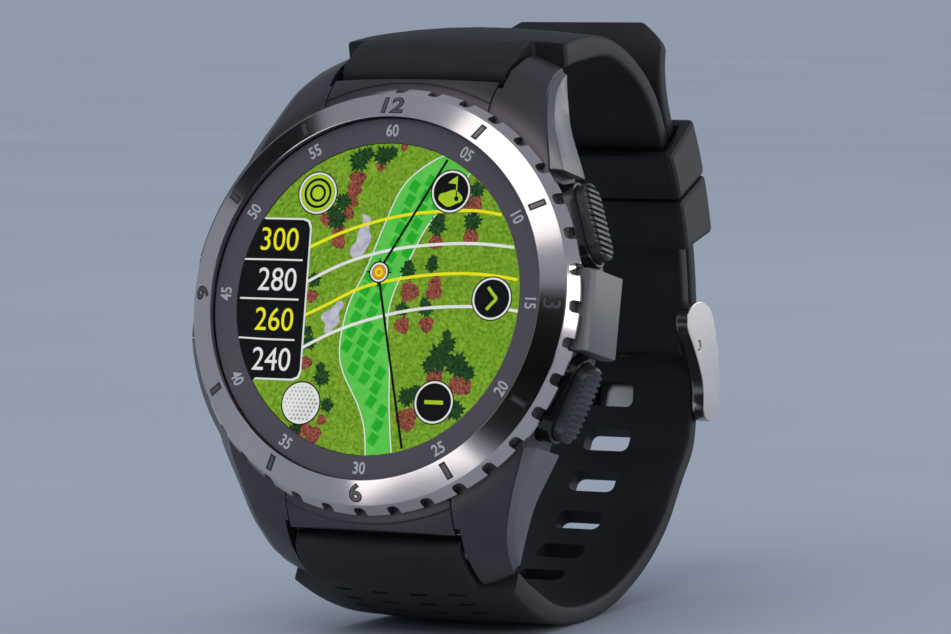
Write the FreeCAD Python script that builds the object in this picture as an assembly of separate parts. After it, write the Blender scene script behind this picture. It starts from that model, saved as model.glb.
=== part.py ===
import FreeCAD, Part
import math
import os

# Golf GPS watch on its closed rubber strap, in millimetres.
# Every piece is modelled in watch coordinates: X to the 3 o'clock side, Y from the face into the
# depth of the watch (0 at the face), Z to the 12 o'clock side. place() at the end puts the middle
# of the wrist loop at the origin and leans the watch back on its strap.

# ---- overall -------------------------------------------------------------------------------
LEAN_BACK = 12.5          # degrees the face is tipped up from vertical
LOOP_DEPTH = 36.0         # depth of the middle of the wrist loop behind the face
FIT = 0.1                 # gap between pieces that fit into each other
SHUT_GAP = 0.15           # visible gap between outer panels

# ---- display stack -------------------------------------------------------------------------
LENS_R = 20.4
LENS_FRONT = -0.5
LENS_T = 0.9
RING_T = 0.2              # minute ring under the lens
WINDOW_R = 17.7           # visible radius of the display
DISPLAY_R = 19.4
DISPLAY_T = 1.6
GASKET_W = 0.6

# ---- bezel ---------------------------------------------------------------------------------
BEZEL_IN_R = 20.55
BEZEL_EDGE_R = 23.3       # where the polished slope meets the side band
BEZEL_OUT_R = 24.2
BEZEL_TOP = -0.6
BEZEL_SLOPE = 1.25        # fall of the polished slope from its inner to its outer edge
BEZEL_BACK = 2.85
NOTCHES = 36
NOTCH_W = 1.4

# ---- case ----------------------------------------------------------------------------------
CASE_R = 23.6
CASE_FRONT = 2.95
CASE_BACK = 10.2
NECK_R = 21.5             # round neck that the bezel is pressed on
CAVITY_R = 18.9
FLANK_ANGLE = 38.0        # the round flank runs this far each side of 3 and 9 o'clock
LUG_TIP_R = 32.2          # the lug tips end on this radius round the watch's axis
LUG_TIP_DEPTH = 9.6       # how far the lug tips reach behind the front of the case
LUG_ROOT_X = 17.9         # flank of the lug just past the round case side
LUG_TIP_X = 14.2
LUG_GAP = 22.0            # between the lugs
HOOD_EDGE_Z = 25.6
HOOD_W = 20.6
HOOD_T = 1.3
BACK_R = 22.6
BACK_T = 1.6
BACK_BOSS_R = 16.5
BACK_BOSS_T = 0.8
SCREW_CIRCLE_R = 21.0
SCREW_R = 0.8
SCREW_HEAD_R = 1.3

# ---- side panels, guard and pushers --------------------------------------------------------
PANEL_T = 1.7
PANEL_SINK = 0.35         # the panels start this far behind the front of the case
PANEL_BACK = 9.7
GUARD_X = 25.0
GUARD_W = 9.2             # along Z
GUARD_BACK = 12.0
PUSHER_TILT = 20.0        # degrees from the X axis
PUSHER_Y = 6.75
PUSHER_LEN = 9.2
PUSHER_W = 4.0
PUSHER_TOP = 25.9
PUSHER_TRAVEL = 0.8
COLLAR_TOP = 24.4
COLLAR_SEAT = 21.6
COLLAR_END = 0.75         # the collar runs this far past each end of the cap
COLLAR_START = -3.65      # end by the guard, along the flank from the tilted axis through the centre
COLLAR_W = 6.6
COLLAR_LIP = 0.35         # wall of the collar round the cap
COLLAR_LEN = PUSHER_LEN + 2 * COLLAR_END
PUSHER_SHIFT = COLLAR_START + COLLAR_LEN / 2
RIBS = 12
RIB_DEPTH = 0.4
STEM_R = 0.9
SPRING_WIRE = 0.26
SPRING_TURNS = 4

# ---- strap ---------------------------------------------------------------------------------
BAR_Y = 8.4
BAR_Z = 27.1
BAR_R = 0.9
BAR_TIP_R = 0.45
STRAP_NECK_W = 20.8
STRAP_FLARE_W = 28.0
STRAP_W = 21.6
STRAP_LUG_T = 3.9
STRAP_T = 2.1
NOSE_GAP = 0.25           # between the round nose of the strap and the case
LAYER_GAP = 0.3           # between the buckle half and the tail lying over it
WRIST_Y = 21.4            # centre of the arc that the back of the strap follows
WRIST_Z = -1.7
WRIST_R = 40.0
HOLE_W = 6.0
HOLE_H = 3.0
HOLE_PITCH = 6.3
HOLES_BELOW = 6           # holes on the lug side of the one in use
HOLES_ABOVE = 3

# ---- keepers and buckle --------------------------------------------------------------------
KEEPER_WALL = 1.5
KEEPER_PLAY = 0.3
KEEPER_SPAN = 9.4         # degrees of the wrist arc
FIXED_KEEPER_AT = 26.2    # degrees up the wrist arc
KEEPER_SLIDE = 3.0        # degrees that the free keeper can slide away from the fixed one
PIN_AT = 8.8              # degrees up the wrist arc
PIN_R = 0.6
STRAP_EYE_R = 1.5
TONGUE_W = 4.6
TONGUE_T = 1.1
TONGUE_HUB_R = 1.25
BUCKLE_WALL = 1.5
BUCKLE_RISE = 6.45        # from the inside of the strap to the inside of the outer bar
BUCKLE_BAR_IN = WRIST_R + BUCKLE_RISE
TONGUE_NOTCH = 0.75


def vec(x, y, z):
    return FreeCAD.Vector(x, y, z)


ORIGIN = vec(0, 0, 0)
X_AXIS = vec(1, 0, 0)
Y_AXIS = vec(0, 1, 0)


# ---- shape helpers -------------------------------------------------------------------------
def turned(profile):
    """Solid of revolution about the watch's own axis from (radius, depth) points."""
    corners = [vec(r, y, 0) for r, y in profile]
    face = Part.Face(Part.makePolygon(corners + corners[:1]))
    return face.revolve(ORIGIN, Y_AXIS, 360)


def disc(radius, front, back, x=0.0, z=0.0):
    return Part.makeCylinder(radius, back - front, vec(x, front, z), Y_AXIS)


def ring(inner, outer, front, back):
    return disc(outer, front, back).cut(disc(inner, front - 1, back + 1))


def rod_x(radius, half_length, y, z):
    return Part.makeCylinder(radius, 2 * half_length, vec(-half_length, y, z), X_AXIS)


def block(x0, x1, y0, y1, z0, z1):
    return Part.makeBox(x1 - x0, y1 - y0, z1 - z0, vec(x0, y0, z0))


def smooth_edge(points):
    curve = Part.BSplineCurve()
    curve.interpolate(points)
    return curve.toShape()


def slab_x(edges, half_width):
    """Closed outline in the Y-Z plane, drawn across X."""
    face = Part.Face(Part.Wire(Part.__sortEdges__(edges)))
    face.translate(vec(-half_width, 0, 0))
    return face.extrude(vec(2 * half_width, 0, 0))


def polygon_slab_x(points, half_width):
    corners = [vec(0, y, z) for y, z in points]
    return slab_x(Part.makePolygon(corners + corners[:1]).Edges, half_width)


def polygon_slab_y(points, front, back):
    corners = [vec(x, front, z) for x, z in points]
    face = Part.Face(Part.makePolygon(corners + corners[:1]))
    return face.extrude(vec(0, back - front, 0))


def rounded(shape, radius, wanted):
    """Fillet the edges that the test picks."""
    edges = [edge for edge in shape.Edges if wanted(edge)]
    return shape.makeFillet(radius, edges) if edges else shape


def one_solid(shape):
    return shape.Solids[0] if len(shape.Solids) == 1 else shape


# ---- places on the wrist arc ---------------------------------------------------------------
def on_wrist(radius, degrees):
    angle = math.radians(degrees)
    return vec(0, WRIST_Y + radius * math.cos(angle), WRIST_Z + radius * math.sin(angle))


def wrist_sector(inner, outer, start, end, half_width):
    middle = (start + end) / 2
    outer_arc = Part.Arc(on_wrist(outer, start), on_wrist(outer, middle), on_wrist(outer, end))
    inner_arc = Part.Arc(on_wrist(inner, start), on_wrist(inner, middle), on_wrist(inner, end))
    sides = [Part.makeLine(on_wrist(inner, a), on_wrist(outer, a)) for a in (start, end)]
    return slab_x([outer_arc.toShape(), inner_arc.toShape()] + sides, half_width)


PIN = on_wrist(WRIST_R + STRAP_T / 2, PIN_AT)
TAIL_R = WRIST_R + STRAP_T + LAYER_GAP + STRAP_T / 2      # centre line of the tail's layer

# depths that follow from the stack
LENS_BACK = LENS_FRONT + LENS_T
RING_BACK = LENS_BACK + RING_T
NECK_TOP = RING_BACK + 0.35
DISPLAY_FRONT = RING_BACK + 0.05
DISPLAY_BACK = DISPLAY_FRONT + DISPLAY_T
CHASSIS_BACK = DISPLAY_BACK + 1.75
BOARD_FRONT = CHASSIS_BACK + 0.05
BOARD_BACK = BOARD_FRONT + 0.8
BACK_PLATE = CASE_BACK + BACK_T
BOSS_FACE = BACK_PLATE + BACK_BOSS_T


# ---- pusher frame: n outward from the flank, t along it --------------------------------------
def at_pusher(shape, side):
    """Put a shape drawn with +X outward and Z along the flank on the 2 or 4 o'clock pusher."""
    placed = shape.copy()
    placed.translate(vec(0, PUSHER_Y, PUSHER_SHIFT))
    placed.rotate(ORIGIN, Y_AXIS, -PUSHER_TILT)
    if side < 0:
        placed = placed.mirror(ORIGIN, vec(0, 0, 1))
    return placed


def stadium(length, width, inner, outer):
    """Round-ended bar along Z, standing from inner to outer along X."""
    straight = block(inner, outer, -width / 2, width / 2, -(length - width) / 2, (length - width) / 2)
    shape = straight
    for end in (-1, 1):
        tip = Part.makeCylinder(width / 2, outer - inner, vec(inner, 0, end * (length - width) / 2), X_AXIS)
        shape = shape.fuse(tip)
    return shape.removeSplitter()


def pusher_collar(side):
    rear = stadium(COLLAR_LEN, COLLAR_W, COLLAR_SEAT, COLLAR_SEAT + 0.9)
    mouth_len = PUSHER_LEN + 2 * (FIT + COLLAR_LIP)
    mouth_w = PUSHER_W + 2 * (FIT + COLLAR_LIP)
    wires = []
    for length, width, out in ((COLLAR_LEN, COLLAR_W, COLLAR_SEAT + 0.9), (mouth_len, mouth_w, COLLAR_TOP)):
        flat = stadium(length, width, out, out + 1)
        wires.append(flat.Faces[[round(f.CenterOfMass.x - out, 4) for f in flat.Faces].index(0)].OuterWire)
    slope = Part.makeLoft(wires, True, True)
    mouth = stadium(PUSHER_LEN + 2 * FIT, PUSHER_W + 2 * FIT, COLLAR_SEAT - 1, COLLAR_TOP + 1)
    return at_pusher(rear.fuse(slope).removeSplitter().cut(mouth), side)


CAP_FOOT = COLLAR_SEAT + PUSHER_TRAVEL + 0.2
SPRING_FOOT = COLLAR_SEAT - 1.0
CLIP_OUT = CAVITY_R - 0.45
CLIP_T = 0.3
STEM_END = CLIP_OUT - CLIP_T - 0.9
STEM_SEAT = 23.8
STEM_BORE_R = STEM_R + FIT
SPRING_R = STEM_R + 0.15 + SPRING_WIRE / 2


def pusher_cap(side):
    cap = stadium(PUSHER_LEN, PUSHER_W, CAP_FOOT, PUSHER_TOP)
    top_edges = rounded(cap, 0.45, lambda e: e.CenterOfMass.x > PUSHER_TOP - 0.01)
    pitch = PUSHER_LEN / (RIBS + 1)
    for rib in range(RIBS):
        z = (rib - (RIBS - 1) / 2) * pitch
        groove = block(PUSHER_TOP - RIB_DEPTH, PUSHER_TOP + 1, -PUSHER_W, PUSHER_W,
                       z - pitch * 0.25, z + pitch * 0.25)
        top_edges = top_edges.cut(groove)
    seat = Part.makeCylinder(STEM_R, STEM_SEAT - CAP_FOOT + 1, vec(CAP_FOOT - 1, 0, 0), X_AXIS)
    return at_pusher(top_edges.cut(seat), side)


def pusher_stem(side):
    stem = Part.makeCylinder(STEM_R, STEM_SEAT - STEM_END, vec(STEM_END, 0, 0), X_AXIS)
    clip_groove = Part.makeCylinder(STEM_R + 1, CLIP_T, vec(CLIP_OUT - CLIP_T, 0, 0), X_AXIS)
    clip_groove = clip_groove.cut(Part.makeCylinder(STEM_R - 0.25, 9, vec(CLIP_OUT - 4, 0, 0), X_AXIS))
    seal_groove = Part.makeCylinder(STEM_R + 1, 0.5, vec(SPRING_FOOT - 0.9, 0, 0), X_AXIS)
    seal_groove = seal_groove.cut(Part.makeCylinder(STEM_R - 0.35, 9, vec(SPRING_FOOT - 4, 0, 0), X_AXIS))
    return at_pusher(stem.cut(clip_groove).cut(seal_groove), side)


def pusher_clip(side):
    outer = Part.makeCylinder(STEM_R + 0.6, CLIP_T, vec(CLIP_OUT - CLIP_T, 0, 0), X_AXIS)
    inner = Part.makeCylinder(STEM_R - 0.25, CLIP_T + 2, vec(CLIP_OUT - CLIP_T - 1, 0, 0), X_AXIS)
    mouth = block(CLIP_OUT - 2, CLIP_OUT + 1, 0, 3, -0.4, 0.4)
    return at_pusher(outer.cut(inner).cut(mouth), side)


def pusher_seal(side):
    start = SPRING_FOOT - 0.9
    outer = Part.makeCylinder(STEM_R + FIT / 2, 0.5, vec(start, 0, 0), X_AXIS)
    inner = Part.makeCylinder(STEM_R - 0.35, 2, vec(start - 1, 0, 0), X_AXIS)
    return at_pusher(outer.cut(inner), side)


def pusher_spring(side):
    height = CAP_FOOT - SPRING_FOOT - SPRING_WIRE - 0.04
    pitch = height / SPRING_TURNS
    helix = Part.makeHelix(pitch, height, SPRING_R)
    half = SPRING_WIRE / 2
    near = SPRING_R - half
    far = SPRING_R + half
    corners = [(near, -half), (far, -half), (far, half), (near, half), (near, -half)]
    section = Part.makePolygon([vec(x, 0, z) for x, z in corners])
    coil = Part.Wire(helix).makePipeShell([section], True, True)
    coil.rotate(ORIGIN, Y_AXIS, 90)
    coil.translate(vec(SPRING_FOOT + SPRING_WIRE / 2 + 0.02, 0, 0))
    return at_pusher(coil, side)


# ---- display stack --------------------------------------------------------------------------
def lens():
    glass = disc(LENS_R, LENS_FRONT, LENS_BACK)
    return rounded(glass, 0.15, lambda e: abs(e.CenterOfMass.y - LENS_FRONT) < 0.01)


def minute_ring():
    return ring(WINDOW_R, LENS_R, LENS_BACK, RING_BACK)


def lens_gasket():
    return ring(LENS_R - GASKET_W, LENS_R, RING_BACK, NECK_TOP)


def display_panel():
    return disc(DISPLAY_R, DISPLAY_FRONT, DISPLAY_BACK)


def display_flex():
    """Flat cable folded from the back of the display to the front of the board."""
    z = -CAVITY_R + 1.9
    ribbon = [(DISPLAY_BACK, z + 2.5), (DISPLAY_BACK, z), (BOARD_FRONT, z), (BOARD_FRONT, z + 2.5),
              (BOARD_FRONT - 0.15, z + 2.5), (BOARD_FRONT - 0.15, z + 0.15),
              (DISPLAY_BACK + 0.15, z + 0.15), (DISPLAY_BACK + 0.15, z + 2.5)]
    return polygon_slab_x(ribbon, 4.0)


# ---- bezel ----------------------------------------------------------------------------------
def bezel_ring():
    edge = BEZEL_TOP + BEZEL_SLOPE
    body = turned([(BEZEL_IN_R, BEZEL_TOP), (BEZEL_EDGE_R, edge), (BEZEL_OUT_R, edge + 1.7),
                   (BEZEL_OUT_R, BEZEL_BACK), (NECK_R, BEZEL_BACK), (NECK_R, NECK_TOP),
                   (BEZEL_IN_R, NECK_TOP)])
    depth = 0.7                       # how far each notch reaches in from the band
    top = edge + 1.0                  # round end of the notch
    notch = block(BEZEL_OUT_R - depth, BEZEL_OUT_R + 1, top, BEZEL_BACK + 1, -NOTCH_W / 2, NOTCH_W / 2)
    end = Part.makeCylinder(NOTCH_W / 2, depth + 1, vec(BEZEL_OUT_R - depth, top, 0), X_AXIS)
    notch = notch.fuse(end).removeSplitter()
    cuts = []
    for index in range(NOTCHES):
        cut = notch.copy()
        cut.rotate(ORIGIN, Y_AXIS, index * 360.0 / NOTCHES)
        cuts.append(cut)
    return body.cut(Part.makeCompound(cuts))


# ---- case -----------------------------------------------------------------------------------
def flank_points(grow):
    """Flank of one lug from the round case side to the lug tip, (x, z), pushed out by grow."""
    a = math.radians(FLANK_ANGLE)
    r = CASE_R + grow
    taper = LUG_ROOT_X - LUG_TIP_X
    thin = grow * 0.45                # a panel on the flank thins towards the lug tip
    return [(r * math.cos(a), r * math.sin(a)), (LUG_ROOT_X + grow * 0.65, 17.9),
            (LUG_ROOT_X - 0.3 * taper + thin, 21.2), (LUG_ROOT_X - 0.54 * taper + thin, 24.0),
            (LUG_ROOT_X - 0.76 * taper + thin, 26.6), (LUG_TIP_X + thin, LUG_TIP_R - 1.8)]


def case_outline(grow, front, back):
    edges = []
    for sx in (-1, 1):
        tips = []
        for sz in (-1, 1):
            points = [vec(sx * x, front, sz * z) for x, z in flank_points(grow)]
            edges.append(smooth_edge(points))
            tips.append(points)
        low, high = tips[0][0], tips[1][0]
        edges.append(Part.Arc(low, vec(sx * (CASE_R + grow), front, 0), high).toShape())
    for sz in (-1, 1):
        x, z = flank_points(grow)[-1]
        edges.append(Part.makeLine(vec(-x, front, sz * z), vec(x, front, sz * z)))
    face = Part.Face(Part.Wire(Part.__sortEdges__(edges)))
    return face.extrude(vec(0, back - front, 0))


def front_dome(sink):
    """Everything behind the smooth front of the case, which falls away all round over the lugs."""
    front = CASE_FRONT + sink
    rim = front + LUG_TIP_DEPTH
    fall = [(CASE_R, 0.0), (25.3, 0.05), (27.2, 0.19), (28.8, 0.33), (29.6, 0.42), (30.5, 0.57),
            (31.3, 0.72), (31.9, 0.88), (LUG_TIP_R, 1.0)]
    slope = smooth_edge([vec(r, front + LUG_TIP_DEPTH * share, 0) for r, share in fall])
    corners = [vec(LUG_TIP_R, rim, 0), vec(LUG_TIP_R, rim + 9, 0), vec(0, rim + 9, 0),
               vec(0, front, 0), vec(CASE_R, front, 0)]
    outline = Part.Wire(Part.__sortEdges__([slope] + Part.makePolygon(corners).Edges))
    return Part.Face(outline).revolve(ORIGIN, Y_AXIS, 360)


def side_view():
    """Side view of the case: level over the back plate, reaching further back at the lug tips."""
    rim = CASE_FRONT + LUG_TIP_DEPTH
    half = [(0, LUG_TIP_R + 1), (rim, LUG_TIP_R + 1), (rim, 29.0), (rim - 0.3, 27.6), (CASE_BACK, 23.4)]
    return half + [(y, -z) for y, z in reversed(half)]


def hood_profile(sign):
    back = CASE_FRONT + HOOD_T
    points = [(0, 21.8), (0, HOOD_EDGE_Z), (back + 1.5, HOOD_EDGE_Z), (back, 22.4), (back, 21.8)]
    return [(y, sign * z) for y, z in points]


def mid_case():
    case = case_outline(0, CASE_FRONT, CASE_FRONT + LUG_TIP_DEPTH).common(polygon_slab_x(side_view(), 40))
    case = case.common(front_dome(0))
    case = case.fuse(disc(NECK_R - FIT / 2, NECK_TOP, CASE_FRONT + 1))
    gap = LUG_GAP / 2
    for sz in (-1, 1):
        low, high = sorted((sz * (BAR_Z - STRAP_LUG_T / 2 - NOSE_GAP), sz * 40))
        case = case.cut(block(-gap, gap, 0, 20, low, high))
        case = case.cut(polygon_slab_x(hood_profile(sz), HOOD_W / 2 + SHUT_GAP))
        # blind holes for the spring bar tips
        case = case.cut(rod_x(BAR_TIP_R + 0.05, gap + 1.3, BAR_Y, sz * BAR_Z))
    # flats under the pushers, with a counterbore for the spring and a bore for the stem
    for side in (-1, 1):
        seat = stadium(COLLAR_LEN + 2 * SHUT_GAP, COLLAR_W + 2 * SHUT_GAP, COLLAR_SEAT, 30)
        well = Part.makeCylinder(SPRING_R + SPRING_WIRE / 2 + FIT, 10, vec(SPRING_FOOT, 0, 0), X_AXIS)
        bore = Part.makeCylinder(STEM_BORE_R, 20, vec(10, 0, 0), X_AXIS)
        case = case.cut(at_pusher(seat.fuse(well).fuse(bore), side))
    # recess for the guards
    for sx in (-1, 1):
        low, high = sorted((sx * (GUARD_X - 2.2), sx * 40))
        recess = block(low, high, CASE_FRONT - 1, CASE_BACK + 1, -GUARD_W / 2 - FIT, GUARD_W / 2 + FIT)
        case = case.cut(recess)
    case = case.cut(disc(CAVITY_R, DISPLAY_BACK + 0.1, 20))
    case = case.cut(disc(DISPLAY_R + FIT, -5, DISPLAY_BACK + 0.1))
    case = case.cut(ring(CAVITY_R + 0.35, CAVITY_R + 1.05, CASE_BACK - 0.45, CASE_BACK + 1))
    for index in range(4):
        x, z = screw_place(index)
        case = case.cut(disc(SCREW_R, CASE_BACK - 3.6, 20, x, z))
    return one_solid(case)


def screw_place(index):
    angle = math.radians(45 + 90 * index)
    return SCREW_CIRCLE_R * math.cos(angle), SCREW_CIRCLE_R * math.sin(angle)


def hood(sign):
    plate = polygon_slab_x(hood_profile(sign), HOOD_W / 2).common(front_dome(0))
    groove = ring(24.95, 25.15, CASE_FRONT - 2, CASE_FRONT + 0.55)
    return plate.cut(groove)


def flank_panel(sx, sz, root_z):
    """Blade-shaped panel on the flank of a lug, from root_z to a point near the lug tip."""
    shell = case_outline(PANEL_T, CASE_FRONT, CASE_FRONT + LUG_TIP_DEPTH)
    core = case_outline(0.05, CASE_FRONT - 1, CASE_FRONT + LUG_TIP_DEPTH + 1)
    back = [vec(0, PANEL_BACK, root_z), vec(0, PANEL_BACK + 0.05, 19.5), vec(0, PANEL_BACK + 0.6, 23.5),
            vec(0, PANEL_BACK + 1.5, 26.4), vec(0, PANEL_BACK + 2.3, 28.9)]
    corners = [back[-1], vec(0, 0, 28.9), vec(0, 0, root_z), back[0]]
    blade = slab_x([smooth_edge(back)] + Part.makePolygon(corners).Edges, 40)
    panel = shell.cut(core).common(blade).common(block(1, 40, 0, 20, 0, 40)).common(front_dome(PANEL_SINK))
    panel = one_solid(panel)
    if sx < 0:
        panel = panel.mirror(ORIGIN, X_AXIS)
    if sz < 0:
        panel = panel.mirror(ORIGIN, vec(0, 0, 1))
    return panel


def guard(sx):
    inner = GUARD_X - 2.2 + FIT
    half = GUARD_W / 2
    top = [(inner, CASE_FRONT + 0.25), (GUARD_X - 0.5, CASE_FRONT + 0.25), (GUARD_X, CASE_FRONT + 1.0),
           (GUARD_X + 0.2, GUARD_BACK - 1.2), (GUARD_X - 0.8, GUARD_BACK), (inner, GUARD_BACK)]
    corners = [vec(x, y, -half) for x, y in top]
    face = Part.Face(Part.makePolygon(corners + corners[:1]))
    body = face.extrude(vec(0, 0, 2 * half))
    # clear of the back plate that the case is closed with
    body = body.cut(disc(BACK_R + SHUT_GAP, CASE_BACK - 0.05, 20))
    if sx < 0:
        body = body.mirror(ORIGIN, X_AXIS)
    return one_solid(body)


# ---- back ------------------------------------------------------------------------------------
def case_back():
    plate = turned([(0, CASE_BACK), (BACK_R, CASE_BACK), (BACK_R, BACK_PLATE - 0.6),
                    (BACK_R - 0.6, BACK_PLATE), (BACK_BOSS_R + 0.8, BACK_PLATE),
                    (BACK_BOSS_R, BOSS_FACE), (0, BOSS_FACE)])
    for index in range(4):
        x, z = screw_place(index)
        plate = plate.cut(disc(SCREW_R + FIT, CASE_BACK - 1, 20, x, z))
        plate = plate.cut(disc(SCREW_HEAD_R + FIT, BACK_PLATE - 0.9, 20, x, z))
    for x, z in contact_places():
        plate = plate.cut(disc(CONTACT_R, 0, 20, x, z))
    return plate


CONTACT_R = 0.8


def contact_places():
    return [(x, -9.0) for x in (-4.5, -1.5, 1.5, 4.5)]


def charging_contacts():
    pins = [disc(CONTACT_R, CASE_BACK - 0.5, BOSS_FACE + 0.05, x, z) for x, z in contact_places()]
    return Part.makeCompound(pins)


def case_back_gasket():
    return ring(CAVITY_R + 0.4, CAVITY_R + 1.0, CASE_BACK - 0.4, CASE_BACK)


def case_back_screws():
    screws = []
    for index in range(4):
        x, z = screw_place(index)
        shank = disc(SCREW_R - 0.02, CASE_BACK - 3.2, BACK_PLATE - 0.9, x, z)
        head = disc(SCREW_HEAD_R, BACK_PLATE - 0.9, BACK_PLATE - 0.2, x, z)
        cross = block(x - 0.8, x + 0.8, BACK_PLATE - 0.55, BACK_PLATE, z - 0.15, z + 0.15)
        cross = cross.fuse(block(x - 0.15, x + 0.15, BACK_PLATE - 0.55, BACK_PLATE, z - 0.8, z + 0.8))
        screws.append(shank.fuse(head).cut(cross))
    return Part.makeCompound(screws)


# ---- inside ----------------------------------------------------------------------------------
def inner_chassis():
    rim = ring(CAVITY_R - 1.7, CAVITY_R - 0.2, DISPLAY_BACK + 0.2, CHASSIS_BACK)
    web = disc(CAVITY_R - 1.6, DISPLAY_BACK + 0.2, DISPLAY_BACK + 0.8)
    web = web.cut(block(-9, 9, 0, 20, -8, 10))
    tray = rim.fuse(web).removeSplitter()
    return tray.cut(block(-4.6, 4.6, 0, 20, -CAVITY_R - 1, -CAVITY_R + 4.6))


BOARD_R = CAVITY_R - 1.1
BATTERY_R = 12.0
BATTERY_Z = -3.5


def main_board():
    board = disc(BOARD_R, BOARD_FRONT, BOARD_BACK)
    return board.cut(block(-20, 20, 0, 20, -BOARD_R - 1, -BOARD_R + 0.9))


def board_chips():
    front = BOARD_BACK
    chips = [block(9.6, 13.0, front, front + 1.0, -1.7, 1.7), block(6.2, 9.4, front, front + 0.8, 10.6, 13.4),
             block(-15.4, -12.8, front, front + 0.7, -1.5, 1.5), block(-14.2, -11.4, front, front + 0.8, -9.4, -6.4)]
    return Part.makeCompound(chips)


def button_switches():
    switches = []
    for side in (-1, 1):
        body = block(STEM_END - PUSHER_TRAVEL - 1.9, STEM_END - PUSHER_TRAVEL - 0.1,
                     BOARD_BACK - PUSHER_Y, BOARD_BACK - PUSHER_Y + 2.9, -1.6, 1.6)
        switches.append(at_pusher(body, side))
    return Part.makeCompound(switches)


def battery_cell():
    cell = disc(BATTERY_R, BOARD_BACK + 1.3, CASE_BACK - 0.7, 0, BATTERY_Z)
    return rounded(cell, 0.6, lambda e: e.Length > 10 and e.BoundBox.YLength < 0.01)


def gps_antenna():
    patch = block(-5, 5, BOARD_BACK, BOARD_BACK + 3.0, 9.3, 16.3)
    return rounded(patch, 0.5, lambda e: e.BoundBox.YLength > 2.5)


def vibration_motor():
    return disc(3.9, BOARD_BACK, BOARD_BACK + 2.7, -10.3, 9.3)


# ---- strap -----------------------------------------------------------------------------------
def spring_bar(sign):
    half = LUG_GAP / 2 - 0.2
    tube = rod_x(BAR_R, half, BAR_Y, sign * BAR_Z)
    return tube.fuse(rod_x(BAR_TIP_R, half + 1.2, BAR_Y, sign * BAR_Z))


def ribbon(line, lug_t, end_t, thick_until, thin_from):
    """Side outline of a strap half: the line given wide by a thickness that falls from the lug."""
    path = smooth_edge(line)
    stations = path.discretize(Number=36)
    outer, inner = [], []
    run = 0.0
    last = stations[0]
    for point in stations:
        run += point.distanceToPoint(last)
        last = point
        share = min(max((run - thick_until) / (thin_from - thick_until), 0.0), 1.0)
        share = share * share * (3 - 2 * share)
        half = (lug_t + (end_t - lug_t) * share) / 2
        along = path.tangentAt(path.Curve.parameter(point))
        across = vec(0, -along.z, along.y)
        outer.append(point + across * half)
        inner.append(point - across * half)
    return [smooth_edge(outer), smooth_edge(inner), Part.makeLine(outer[0], inner[0]),
            Part.makeLine(outer[-1], inner[-1])]


def strap_plan():
    """Width of both strap halves by depth: neck between the lugs, flare, then taper."""
    neck, flare, end = STRAP_NECK_W / 2, STRAP_FLARE_W / 2, STRAP_W / 2
    step = CASE_FRONT + LUG_TIP_DEPTH + 0.45      # the shoulders start just behind the lug tips
    sides = []
    for sx in (-1, 1):
        taper = smooth_edge([vec(sx * flare, step + 0.9, -60), vec(sx * (flare - 0.4), 18, -60),
                             vec(sx * (end + 1.3), 34, -60), vec(sx * end, 52, -60), vec(sx * end, 90, -60)])
        neck_edge = Part.makeLine(vec(sx * neck, 0, -60), vec(sx * neck, step, -60))
        shoulder = Part.makeLine(vec(sx * neck, step, -60), vec(sx * flare, step + 0.9, -60))
        sides += [taper, neck_edge, shoulder]
    sides.append(Part.makeLine(vec(-neck, 0, -60), vec(neck, 0, -60)))
    sides.append(Part.makeLine(vec(-end, 90, -60), vec(end, 90, -60)))
    return Part.Face(Part.Wire(Part.__sortEdges__(sides))).extrude(vec(0, 0, 120))


def upper_line():
    points = [vec(0, BAR_Y, BAR_Z), vec(0, 11.4, 29.8), vec(0, 15.2, 31.6), vec(0, 19.8, 33.1),
              vec(0, 26.0, 34.3), on_wrist(WRIST_R - 1.892, 72.278), on_wrist(WRIST_R - 0.376, 63.629)]
    middle = WRIST_R + STRAP_T / 2
    return points + [on_wrist(middle, a) for a in (54, 47, 40, 33, 26, 19, 12.5, PIN_AT)]


def lower_line():
    points = [vec(0, BAR_Y, -BAR_Z), vec(0, 11.4, -29.0), vec(0, 15.0, -30.3), vec(0, 20.0, -31.4),
              vec(0, 26.0, -31.9)]
    sweep = [(-8.022, -68.731), (-5.884, -56.962), (-3.5, -46.554), (-1.14, -36.84),
             (0.977, -27.942), (2.668, -19.582), (3.911, -11.694)]
    points += [on_wrist(WRIST_R + out, a) for out, a in sweep]
    swell = [(1.75, -7.0), (1.4, -1.5), (0.9, 4.0), (0.45, 9.0), (0.1, 14.0)]
    points += [on_wrist(TAIL_R + out, a) for out, a in swell]
    points += [on_wrist(TAIL_R, a) for a in (20, 27, 34, 41, 48)]
    tip = [(1.05, 53.13), (3.37, 56.853), (6.714, 58.781)]
    return points + [on_wrist(TAIL_R + out, a) for out, a in tip]


def on_line(line, start, distance):
    """Point and direction at a distance along a line from the place nearest to start."""
    path = smooth_edge(line)
    curve = path.Curve
    first = curve.parameter(start)
    along = curve.parameterAtDistance(distance, first) if distance else first
    return curve.value(along), path.tangentAt(along)


def strap_hole(line, distance):
    point, along = on_line(line, on_wrist(TAIL_R, PIN_AT + 0.1), distance)
    slot = block(-HOLE_W / 2, HOLE_W / 2, -4, 4, -HOLE_H / 2, HOLE_H / 2)
    slot = rounded(slot, 0.9, lambda e: e.BoundBox.YLength > 7)
    slot.rotate(ORIGIN, X_AXIS, math.degrees(math.atan2(-along.y, along.z)))
    slot.translate(point)
    return slot


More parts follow.
